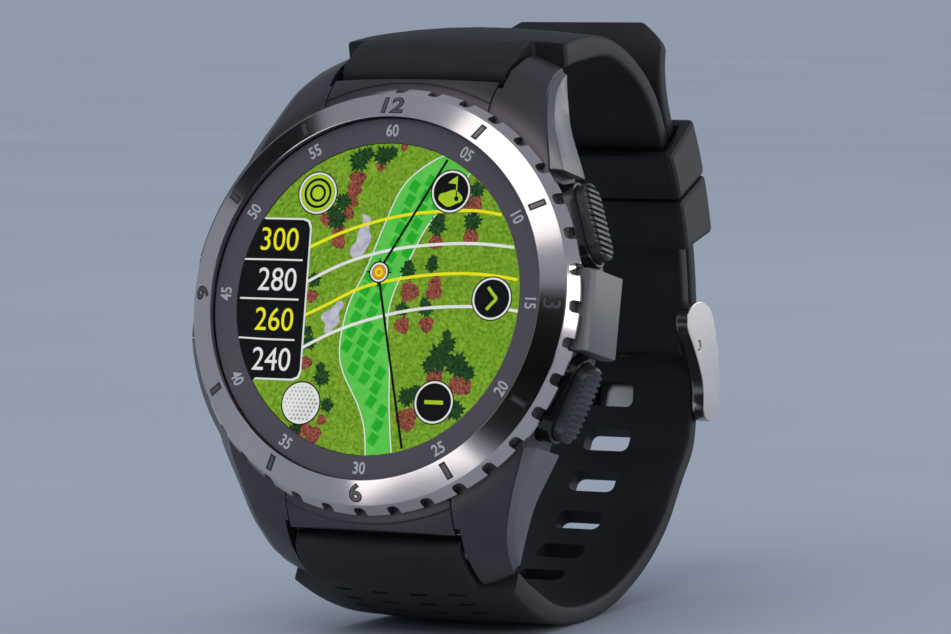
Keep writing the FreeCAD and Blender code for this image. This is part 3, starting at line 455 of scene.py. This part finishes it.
bm = bmesh.new()
for x, z, text in ((-12.95, 6.45, "300"), (-12.65, -2.7, "260")):
    add_figures(bm, text, list_size, (x, z), layers["figures"], squeeze=0.9)
add_piece("screen_yellow_figures", bm, yellow_ink)

bm = bmesh.new()
x, z = buttons["target"]
for outer, inner in ((2.1, 1.72), (1.42, 1.02), (0.72, 0.0)):
    round_shape(bm, x, z, outer, layers["sign"], inner)
x, z = buttons["next"]
for side in (-1, 1):
    line_shape(bm, [(x - 0.55, z + side * 1.25), (x, z + side * 0.62), (x + 0.6, z)], 0.36, layers["sign"])
x, z = buttons["minus"]
line_shape(bm, [(x - 1.15, z), (x, z), (x + 1.15, z)], 0.44, layers["sign"])
x, z = buttons["flag"]
green = []
for step in range(24):
    a = step * math.tau / 24
    green.append((x + 1.5 * math.cos(a), z - 0.75 + (0.85 - 0.15 * math.sin(step)) * math.sin(a)))
flat_shape(bm, green, layers["sign"])
pennant = [(x + 0.62, z + 1.75), (x + 0.62, z + 0.85), (x - 0.45, z + 0.95), (x - 0.05, z + 1.3)]
flat_shape(bm, pennant, layers["sign"])
pole = [(x + 0.62, z + 1.75), (x + 0.66, z + 0.5), (x + 0.7, z - 0.75)]
line_shape(bm, pole, 0.14, layers["flag_pole"])
add_piece("screen_lime_shapes", bm, lime_ink)

bm = bmesh.new()
round_shape(bm, x + 0.75, z - 0.8, 0.28, layers["fine_line"])
line_shape(bm, [(x + 0.68, z + 0.1), (x + 0.7, z - 0.3), (x + 0.72, z - 0.8)], 0.14, 0.456)
for dx, dz in ((1.42, 0), (-1.42, 0), (0, 1.42), (0, -1.42)):
    tick = [(dx * share, target[1] + dz * share) for share in (0.86, 1, 1.12)]
    line_shape(bm, tick, 0.16, 0.48)
add_piece("screen_small_marks", bm, black_ink)

bm = bmesh.new()
for row in range(-4, 5):
    for column in range(-4, 5):
        dx, dz = column * 0.5 + (row % 2) * 0.25, row * 0.44
        if math.hypot(dx, dz) < 2.1:
            dimple_r = 0.11 + 0.05 * min(max((0.9 + dx - dz) / 3.0, 0), 1)
            round_shape(bm, ball[0] + dx, ball[1] + dz, dimple_r, 0.468)
ball_shade = finish("ball_shade", srgb(150, 152, 154), srgb(196, 198, 200), mottle=500, glow=1.0)
add_piece("screen_ball_dimples", bm, ball_shade)

bm = bmesh.new()
round_shape(bm, *target, 0.8, layers["list_rim"])
add_piece("screen_target_ring", bm, orange_ink)
bm = bmesh.new()
round_shape(bm, *target, 0.5, 0.476, 0.3)
add_piece("screen_target_middle", bm, yellow_ink)

# ---- minute ring and glass ----------------------------------------------------------------------
# A dark printed ring under the flat mineral glass, with a figure every five minutes. The glass is
# glued into the case against a black gasket.
ring_print = finish("ring_print", srgb(114, 105, 114), srgb(120, 111, 120), roughness=0.5, mottle=60,
                    bump=0.02)
figure_print = finish("figure_print", srgb(226, 226, 228), srgb(238, 238, 240), roughness=0.5, mottle=500)
minute_r, minute_size = 19.1, 1.9


def turned(bm, profile, steps):
    """A ring turned about the watch's axis from (radius, depth) points, closed on itself."""
    verts = [bm.verts.new((r, y, 0)) for r, y in profile]
    edges = [bm.edges.new((a, b)) for a, b in zip(verts, verts[1:] + verts[:1])]
    bmesh.ops.spin(bm, geom=verts + edges, cent=(0, 0, 0), axis=(0, 1, 0), dvec=(0, 0, 0), angle=math.tau,
                   steps=steps, use_merge=True)
    bmesh.ops.remove_doubles(bm, verts=bm.verts, dist=0.0005)
    bmesh.ops.recalc_face_normals(bm, faces=bm.faces)


bm = bmesh.new()
turned(bm, [(17.7, 0.6), (17.7, 0.41), (20.4, 0.41), (20.4, 0.6)], 240)
add_piece("minute_ring_print", bm, ring_print, ("minute_ring",))
bm = bmesh.new()
for minute in range(0, 60, 5):
    turn = minute * 6
    x, z = minute_r * math.sin(math.radians(turn)), minute_r * math.cos(math.radians(turn))
    upright = turn + 180 if 100 < turn < 260 else turn
    text = "60" if minute == 0 else "%02d" % minute
    add_figures(bm, text, minute_size, (x, z), 0.375, turn=upright, squeeze=0.84, weight=0.035)
add_piece("minute_figures", bm, figure_print)

# ---- bezel --------------------------------------------------------------------------------------
# A turned steel ring with a polished slope and a satin side band, pressed on the neck of the case.
# 36 round-ended notches are milled in the band, and the hours are engraved in the slope.
slope_in, slope_out, slope_top, slope_fall = 20.55, 23.3, -0.6, 1.25
band_r = 24.2
notches, notch_r, notch_front, notch_run = 36, 0.7, 1.65, 1.2
hour_r = 21.92
bezel_steel = finish("bezel_steel", srgb(212, 201, 199), srgb(222, 211, 208), metallic=1.0, roughness=0.15,
                     grain=5200, bump=0.03, mottle=90, rough_play=0.2)
# A dark copy for the rim of each engraved hour: painted shade for the walls of the cut, round the lighter
# floor.
engraving_wall_shade = finish("bezel_engraving", srgb(52, 46, 46), srgb(70, 62, 62), metallic=0.5, roughness=0.5,
                  mottle=1500)
engraved_floor = finish("bezel_engraving_floor", srgb(112, 104, 106), srgb(130, 122, 124), metallic=0.8,
                        roughness=0.4, mottle=1500)


def cut_away(bm, cutter):
    """The first mesh with the second taken out of it, as a new bmesh."""
    objects = []
    for source in (bm, cutter):
        mesh = bpy.data.meshes.new("cut")
        source.to_mesh(mesh)
        source.free()
        objects.append(bpy.data.objects.new("cut", mesh))
        bpy.context.scene.collection.objects.link(objects[-1])
    knife = objects[0].modifiers.new("knife", "BOOLEAN")
    knife.operation = "DIFFERENCE"
    knife.solver = "EXACT"
    knife.object = objects[1]
    bpy.context.view_layer.update()
    done = bpy.data.meshes.new_from_object(objects[0].evaluated_get(bpy.context.evaluated_depsgraph_get()))
    result = bmesh.new()
    result.from_mesh(done)
    for item in objects:
        bpy.data.meshes.remove(item.data)
    bpy.data.meshes.remove(done)
    return result


bm = bmesh.new()
turned(bm, [(20.55, 0.9), (20.55, -0.52), (20.62, -0.568), (23.24, 0.623), (23.33, 0.71), (24.17, 2.28),
            (24.2, 2.4), (24.2, 2.78), (24.12, 2.85), (21.6, 2.85), (21.5, 2.8), (21.5, 0.95)], 288)
cutter = bmesh.new()
for notch in range(notches):
    turn = Matrix.Rotation(math.radians(notch * 10), 4, "Y")
    stand = Matrix.Translation((band_r, notch_front, 0)) @ Matrix.Rotation(math.radians(90), 4, "Y")
    end = bmesh.ops.create_cone(cutter, segments=24, radius1=notch_r, radius2=notch_r, depth=1.4,
                                cap_ends=True, matrix=turn @ stand)["verts"]
    for vert in end:
        local = turn.inverted() @ vert.co
        if local.y > notch_front + 0.01:
            across = math.copysign(notch_r, local.z) if abs(local.z) > 0.05 else local.z
            vert.co = turn @ Vector((local.x, local.y + notch_run, across))
bm = cut_away(bm, cutter)
bmesh.ops.remove_doubles(bm, verts=bm.verts, dist=0.001)
add_piece("bezel_turned", bm, bezel_steel, ("bezel_ring",), sharp=14)


def on_slope(bm, lift):
    """Lay flat figures on the polished slope."""
    for vert in bm.verts:
        r = math.hypot(vert.co.x, vert.co.z)
        slope = slope_top + slope_fall * (r - slope_in) / (slope_out - slope_in)
        vert.co.y = slope - lift + vert.co.y * 0.3


# Each hour is a flat plate. The wider dark one paints the shade on the cut's walls, and the smaller lighter
# one is the floor.
for name, material, weight, lift, grow in (("hour_engraving", engraving_wall_shade, 0.11, 0.008, 0.0),
                                           ("hour_engraving_floor", engraved_floor, -0.02, 0.016, 0.2)):
    bm = bmesh.new()
    for hour in range(12):
        turn = hour * 30
        x, z = math.sin(math.radians(turn)), math.cos(math.radians(turn))
        if hour % 3 == 0:
            upright = turn + 180 if hour == 6 else turn
            text = {0: "12", 3: "3", 6: "6", 9: "9"}[hour]
            add_figures(bm, text, 2.55, (x * hour_r, z * hour_r), 0, turn=upright, squeeze=1.25,
                        weight=weight)
        else:
            half_l, half_w = 0.92 - grow, 0.4 - grow
            corners = [(-half_w, -half_l), (half_w, -half_l), (half_w, half_l), (-half_w, half_l)]
            outline = [(x * (hour_r + b) + z * a, z * (hour_r + b) - x * a) for a, b in corners]
            flat_shape(bm, outline, 0)
    bmesh.ops.subdivide_edges(bm, edges=[e for e in bm.edges if e.calc_length() > 0.6], cuts=3)
    on_slope(bm, lift)
    add_piece(name, bm, material)

# ---- case, hoods, side panels and guards ---------------------------------------------------------
# The case is a gunmetal-coated casting with four horns that reach back round the strap. The hoods
# over the spring bars, the blade-shaped side panels and the guard between the pushers are
# separate castings that are glued into it, with thin shut lines round them. The side panels and the
# guards get lighter grey copies of the case metal: painted light, for the sides that face the lamps.


def from_frame(node, name, material, edge, body="watch", corner=28):
    """A made piece with the same shape as a CAD node, with its sharp edges broken."""
    bm = bmesh.new()
    bm.from_mesh(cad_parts[node].data)
    bmesh.ops.remove_doubles(bm, verts=bm.verts, dist=0.000002)
    bmesh.ops.dissolve_limit(bm, angle_limit=math.radians(0.3), verts=bm.verts, edges=bm.edges)
    sharp = [e for e in bm.edges if e.is_manifold and e.calc_face_angle(0) > math.radians(corner)]
    bmesh.ops.bevel(bm, geom=sharp, offset=edge * 0.001, segments=2, profile=0.5, affect="EDGES", material=-1,
                    clamp_overlap=True)
    return add_piece(name, bm, material, (node,), body=body, place=Matrix.Identity(4), sharp=24)


gunmetal = finish("case_gunmetal", srgb(84, 77, 81), srgb(98, 91, 94), metallic=0.85, roughness=0.42,
                  grain=6500, bump=0.08, mottle=70)
# Lighter grey copies of the case metal for the side panels and the guards: painted light on the sides that
# face the lamps.
panel_grey = finish("panel_grey", srgb(126, 123, 124), srgb(142, 139, 140), metallic=0.7, roughness=0.4,
                    grain=6500, bump=0.08, mottle=90)
guard_grey = finish("guard_grey", srgb(114, 112, 112), srgb(124, 122, 122), metallic=0.4, roughness=0.45,
                    grain=6500, bump=0.08, mottle=90)
from_frame("mid_case", "case_casting", gunmetal, 0.12)
from_frame("upper_hood", "hood_casting_upper", gunmetal, 0.08)
from_frame("lower_hood", "hood_casting_lower", gunmetal, 0.08)
# The blades and guard blocks wear the lighter grey copies, which are painted light for the lit sides.
for side in ("right_upper", "right_lower", "left_upper", "left_lower"):
    from_frame(side + "_flank_panel", side + "_blade", panel_grey, 0.12)
for side in ("right", "left"):
    from_frame(side + "_guard", side + "_guard_block", guard_grey, 0.14)

# ---- pushers ------------------------------------------------------------------------------------
# Two ribbed caps of moulded metal at 2 and 4 o'clock, one on each side of the guard. Each slides
# on its stem in a glossy black collar that is set in the side of the case.
collar_black = finish("collar_gloss", srgb(22, 21, 23), srgb(34, 32, 35), metallic=0.3, roughness=0.22,
                      grain=4000, bump=0.04, mottle=200, coat=0.4)
cap_grey = finish("pusher_grey", srgb(62, 61, 64), srgb(88, 87, 90), metallic=0.6, roughness=0.34, grain=5000,
                  bump=0.08, mottle=300)
for place_name in ("upper", "lower"):
    from_frame(place_name + "_pusher_collar", place_name + "_collar_moulding", collar_black,
               0.1)
    from_frame(place_name + "_pusher_cap", place_name + "_ribbed_cap", cap_grey, 0.05,
               body=place_name + "_pusher")

# ---- strap --------------------------------------------------------------------------------------
# Two halves of black moulded rubber: thick and crowned where they meet the case, thin and flat
# round the wrist. The long half has ten slots for the tongue and stands up past the short half.
strap_black = finish("strap_rubber", srgb(31, 29, 31), srgb(41, 39, 41), shine=0.35, roughness=0.58,
                     grain=7000, bump=0.22, mottle=160)
flare_half_w, neck_half_w, neck_end, shoulder_rise, shoulder_run = 14.0, 10.4, 13.0, 3.6, 0.9
strap_half_t, strap_thinning, nose_r, pin_end_r = 1.945, 0.9, 1.95, 1.5
loop_depth, loop_height = 21.4, -1.7
short_r, long_r = 41.05, 43.45
spring_bar_bore, pin_bore = 0.95, 0.65
hole_pitch = 6.3
vent_pitch, vent_length, vent_height = 4.8, 2.2, 0.7


def add_section(bm, centre, across, half_w, half_t, crown, corner):
    """One ring of the strap's section: flat inside, crowned outside, with round corners."""
    corner = min(corner, half_t * 0.9)
    flat = half_w - corner
    shares = (-1, -0.85, -0.6, -0.3, 0, 0.3, 0.6, 0.85, 1)
    drop = half_t - crown * (flat / flare_half_w) ** 2

    def round_corner(side, base, angles):
        """Points round one corner, on the side given as 1 or -1."""
        return [(side * flat + side * corner * math.cos(math.radians(a)),
                 base + corner * math.sin(math.radians(a)))
                for a in angles]

    ring = [(x * flat, half_t - crown * (x * flat / flare_half_w) ** 2) for x in shares]
    ring += round_corner(1, drop - corner, (60, 30, 0)) + round_corner(1, corner - half_t, (0, -30, -60))
    ring += [(-x * flat, -half_t) for x in shares]
    ring += round_corner(-1, corner - half_t, (-60, -30, 0)) + round_corner(-1, drop - corner, (0, 30, 60))
    verts = [bm.verts.new((x, centre[0] + across[0] * n, centre[1] + across[1] * n)) for x, n in ring]
    return [bm.edges.new((a, b)) for a, b in zip(verts, verts[1:] + verts[:1])]


def strap_half_width(depth, along):
    """Half the strap's width at a depth: neck between the horns, shoulder, then taper."""
    if depth < neck_end and along < 30:
        return neck_half_w
    if depth < neck_end + shoulder_run and along < 30:
        return neck_half_w + shoulder_rise * (depth - neck_end) / shoulder_run
    taper = ((13.9, 18, 23, 34, 44, 52, 90), (14, 13.55, 13.1, 12.0, 11.15, 10.8, 10.8))
    return float(np.interp(depth, *taper))


def wrist_arc(radius, degrees):
    """Depth and height of a point at a radius and an angle round the middle of the loop."""
    angle = math.radians(degrees)
    return (loop_depth + radius * math.cos(angle), loop_height + radius * math.sin(angle))


def strap_half(line, outward, thin_from, thin_to, end_round):
    """Loft a strap half along its line, with a round nose on the spring bar."""
    path = curve_through(line, 170)
    steps = [0.0]
    for a, b in zip(path, path[1:]):
        steps.append(steps[-1] + float(np.linalg.norm(b - a)))
    first = (path[1] - path[0]) / np.linalg.norm(path[1] - path[0])
    last = (path[-1] - path[-2]) / np.linalg.norm(path[-1] - path[-2])
    stations = [(path[0] - first * d, -d, first) for d in (1.93, 1.8, 1.5, 1.0, 0.5)]
    for index, point in enumerate(path):
        ahead = path[min(index + 1, len(path) - 1)] - path[max(index - 1, 0)]
        stations.append((point, steps[index], ahead / np.linalg.norm(ahead)))
    if end_round:
        stations += [(path[-1] + last * d, steps[-1] + d, last) for d in (0.5, 0.95, 1.25, 1.42)]
    bm = bmesh.new()
    rings = []
    for point, run, along in stations:
        share = min(max((run - thin_from) / (thin_to - thin_from), 0), 1)
        share = share * share * (3 - 2 * share)
        half_t = strap_half_t - strap_thinning * share
        if run < 0:
            half_t = math.sqrt(nose_r ** 2 - run ** 2)
        beyond = steps[-1] - run
        half_w = strap_half_width(point[0], run)
        if end_round:
            half_t = max(half_t if beyond > 0 else 0, math.sqrt(max(pin_end_r ** 2 - beyond ** 2, 0)))
        elif beyond < 3.0:
            half_w -= 0.5 * (3.0 - beyond) ** 1.55
            half_t -= 0.25 * max(0, 0.6 - beyond)
        across = np.array((-along[1], along[0])) * outward
        crown = 1.15 * (1 - share) if run > 5 else 0.35
        rings.append(add_section(bm, point, across, half_w, half_t, crown, 0.42 if run > 5 else 0.3))
    for a, b in zip(rings, rings[1:]):
        bmesh.ops.bridge_loops(bm, edges=a + b)
    for ring in (rings[0], rings[-1]):
        bmesh.ops.contextual_create(bm, geom=ring)
    bmesh.ops.recalc_face_normals(bm, faces=bm.faces)
    return bm, path, steps


def slot_cutter(bm, point, along, outward, x, length, height, depth_in, depth_out, corner):
    """A round-cornered punch standing across the strap."""
    across = np.array((-along[1], along[0])) * outward
    basis = Matrix(((1, 0, 0, x), (0, across[0], along[0], point[0]), (0, across[1], along[1], point[1]),
                    (0, 0, 0, 1)))
    middle = (depth_out - depth_in) / 2
    size = Matrix.Diagonal((length, depth_in + depth_out, height, 1))
    verts = bmesh.ops.create_cube(bm, size=1, matrix=Matrix.Translation((0, middle, 0)) @ size)["verts"]
    upright = [e for e in {e for v in verts for e in v.link_edges}
               if abs(e.verts[0].co.y - e.verts[1].co.y) > 0.1 * (depth_in + depth_out)]
    made = bmesh.ops.bevel(bm, geom=upright, offset=corner, segments=4, profile=0.5, affect="EDGES",
                           material=-1)
    moved = set(verts) | {v for f in made["faces"] for v in f.verts}
    bmesh.ops.transform(bm, matrix=basis, verts=[v for v in moved if v.is_valid])


def at_run(path, steps, run):
    """The point and the direction of the strap's line, a run along it."""
    index = min(max(int(np.searchsorted(steps, run)), 1), len(path) - 1)
    share = (run - steps[index - 1]) / (steps[index] - steps[index - 1])
    along = path[index] - path[index - 1]
    return path[index - 1] + along * share, along / np.linalg.norm(along)


def vent_rows(bm, path, steps, runs, outward):
    """Rows of four shallow vents in the outer face."""
    for run in runs:
        point, along = at_run(path, steps, run)
        skin = point + np.array((-along[1], along[0])) * outward * nose_r
        for column in range(4):
            slot_cutter(bm, skin, along, outward, (column - 1.5) * vent_pitch, vent_length, vent_height,
                        0.5, 1.0, 0.3)


def cross_bore(bm, y, z, bore):
    """A round bore across the whole strap."""
    bmesh.ops.create_cone(bm, segments=32, radius1=bore, radius2=bore, depth=40, cap_ends=True,
                          matrix=Matrix.Translation((0, y, z)) @ Matrix.Rotation(math.radians(90), 4, "Y"))


upper_line = [(8.4, 27.1), (11.4, 29.8), (15.2, 31.6), (19.8, 33.1), (26.0, 34.3), (33.0, 34.6), (39.0, 33.8)]
upper_line += [wrist_arc(short_r, a) for a in (54, 47, 40, 33, 26, 19, 12.5, 8.8)]
bm, path, steps = strap_half(upper_line, 1, 12, 24, True)
cutter = bmesh.new()
vent_rows(cutter, path, steps, (8.6, 11.6), 1)
point, along = at_run(path, steps, steps[-1])
slot_cutter(cutter, point, along, 1, 0, 5.2, 5.4, 4, 4, 0.4)
bm = cut_away(bm, cutter)
cutter = bmesh.new()
cross_bore(cutter, *upper_line[0], spring_bar_bore)
cross_bore(cutter, *upper_line[-1], pin_bore)
add_piece("short_strap_half", cut_away(bm, cutter), strap_black, ("upper_strap",))

lower_line = [(8.4, -27.1), (11.4, -29.0), (15.0, -30.3), (20.0, -31.4), (26.0, -31.9), (33.0, -31.5),
              (40.0, -30.3), (46.5, -28.2), (52.5, -25.0), (57.6, -20.9), (61.6, -16.0), (64.4, -10.6)]
lower_line += [wrist_arc(long_r + out, a)
               for out, a in ((1.75, -7.0), (1.4, -1.5), (0.9, 4.0), (0.45, 9.0), (0.1, 14.0))]
lower_line += [wrist_arc(long_r, a) for a in (20, 27, 34, 41, 48)]
lower_line += [(48.1, 33.9), (47.0, 37.5), (47.4, 41.2)]
bm, path, steps = strap_half(lower_line, -1, 12, 26, False)
cutter = bmesh.new()
vent_rows(cutter, path, steps, (6.2, 9.0, 11.8), -1)
used = np.array(wrist_arc(long_r, 8.9))
used_run = steps[int(np.argmin([np.linalg.norm(p - used) for p in path]))]
for index in range(-6, 4):
    point, along = at_run(path, steps, used_run + index * hole_pitch)
    slot_cutter(cutter, point, along, -1, 0, 6.0, 3.0, 4, 4, 0.9)
bm = cut_away(bm, cutter)
cutter = bmesh.new()
cross_bore(cutter, *lower_line[0], spring_bar_bore)
add_piece("long_strap_half", cut_away(bm, cutter), strap_black, ("lower_strap",))

# ---- keepers ------------------------------------------------------------------------------------
# Two moulded rubber loops round both layers of the strap. The one nearer the buckle is fixed to the
# short half, and the other slides.
keeper_black = finish("keeper_rubber", srgb(31, 29, 31), srgb(41, 39, 41), shine=0.35, roughness=0.52,
                      grain=7000, bump=0.2, mottle=160)
for name, node, body in (("keeper_loop_fixed", "fixed_keeper", "watch"),
                         ("keeper_loop_free", "sliding_keeper", "keeper_loop")):
    from_frame(node, name, keeper_black, 0.65, body=body, corner=40)

# ---- buckle -------------------------------------------------------------------------------------
# A cast and polished steel frame with a bent tongue. Both turn on one steel pin, which goes through
# the end of the short half.
buckle_steel = finish("buckle_steel", srgb(214, 206, 200), srgb(228, 220, 214), metallic=1.0, roughness=0.2,
                      grain=3000, bump=0.04, mottle=120)
from_frame("buckle_frame", "buckle_casting", buckle_steel, 0.3, body="buckle", corner=30)
from_frame("buckle_tongue", "tongue_casting", buckle_steel, 0.2, body="tongue", corner=30)
from_frame("buckle_pin", "pin_rod", buckle_steel, 0.08)

# ---- other pieces ---------------------------------------------------------------------------------
# The glass, the seals, the electronics, the case back with its screws and contacts, and the spring
# bars keep the shape that the frame gives them, and get their own finishes here.
glass = bpy.data.materials.new("lens_glass")
glass.use_nodes = True
shader = glass.node_tree.nodes["Principled BSDF"]
shader.inputs["Base Color"].default_value = (0.01, 0.01, 0.012, 1)
shader.inputs["Alpha"].default_value = 0.1
haze = glass.node_tree.nodes.new("ShaderNodeTexNoise")
haze.inputs["Scale"].default_value = 300
spread = glass.node_tree.nodes.new("ShaderNodeMapRange")
spread.inputs["To Min"].default_value = 0.02
spread.inputs["To Max"].default_value = 0.05
where = glass.node_tree.nodes.new("ShaderNodeTexCoord").outputs["Object"]
glass.node_tree.links.new(where, haze.inputs["Vector"])
glass.node_tree.links.new(haze.outputs["Fac"], spread.inputs["Value"])
glass.node_tree.links.new(spread.outputs["Result"], shader.inputs["Roughness"])

other_finishes = {
    "lens_glass": glass,
    "ring_print": ring_print,
    "black_seal": finish("black_seal", srgb(20, 20, 20), srgb(30, 30, 30), roughness=0.7),
    "display_face": finish("display_glass", srgb(10, 12, 14), srgb(18, 20, 22), roughness=0.2, bump=0.02),
    "flex_film": finish("flex_film", srgb(196, 120, 40), srgb(214, 140, 58), roughness=0.4),
    "back_black": finish("back_black", srgb(28, 27, 29), srgb(38, 36, 39), metallic=0.2, roughness=0.4),
    "screw_steel": finish("screw_steel", srgb(150, 150, 152), srgb(170, 170, 172), metallic=1.0,
                          roughness=0.3),
    "contact_gold": finish("contact_gold", srgb(210, 170, 90), srgb(226, 188, 110), metallic=1.0,
                           roughness=0.25),
    "inner_plastic": finish("inner_plastic", srgb(52, 52, 54), srgb(62, 62, 64), roughness=0.6),
    "board_green": finish("board_green", srgb(18, 78, 42), srgb(26, 96, 52), roughness=0.45),
    "chip_black": finish("chip_black", srgb(24, 24, 26), srgb(34, 34, 36), roughness=0.5),
    "battery_foil": finish("battery_foil", srgb(160, 162, 166), srgb(182, 184, 188), metallic=0.9,
                           roughness=0.35),
    "antenna_ceramic": finish("antenna_ceramic", srgb(206, 196, 170), srgb(220, 210, 186), roughness=0.55),
    "bar_steel": finish("bar_steel", srgb(140, 140, 142), srgb(164, 164, 166), metallic=1.0, roughness=0.28),
    "collar_gloss": collar_black,
    "strap_rubber": strap_black,
    "keeper_rubber": keeper_black,
    "bezel_steel": bezel_steel,
    # The lighter grey panel and guard finishes are painted light for the lit sides of the case.
    "panel_grey": panel_grey,
    "guard_grey": guard_grey,
    "pusher_grey": cap_grey,
    "case_gunmetal": gunmetal,
    "buckle_steel": buckle_steel,
}
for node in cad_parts.values():
    for holder in node.material_slots:
        slot = holder.material.name.split(".")[0]
        holder.material = other_finishes.get(slot, holder.material)
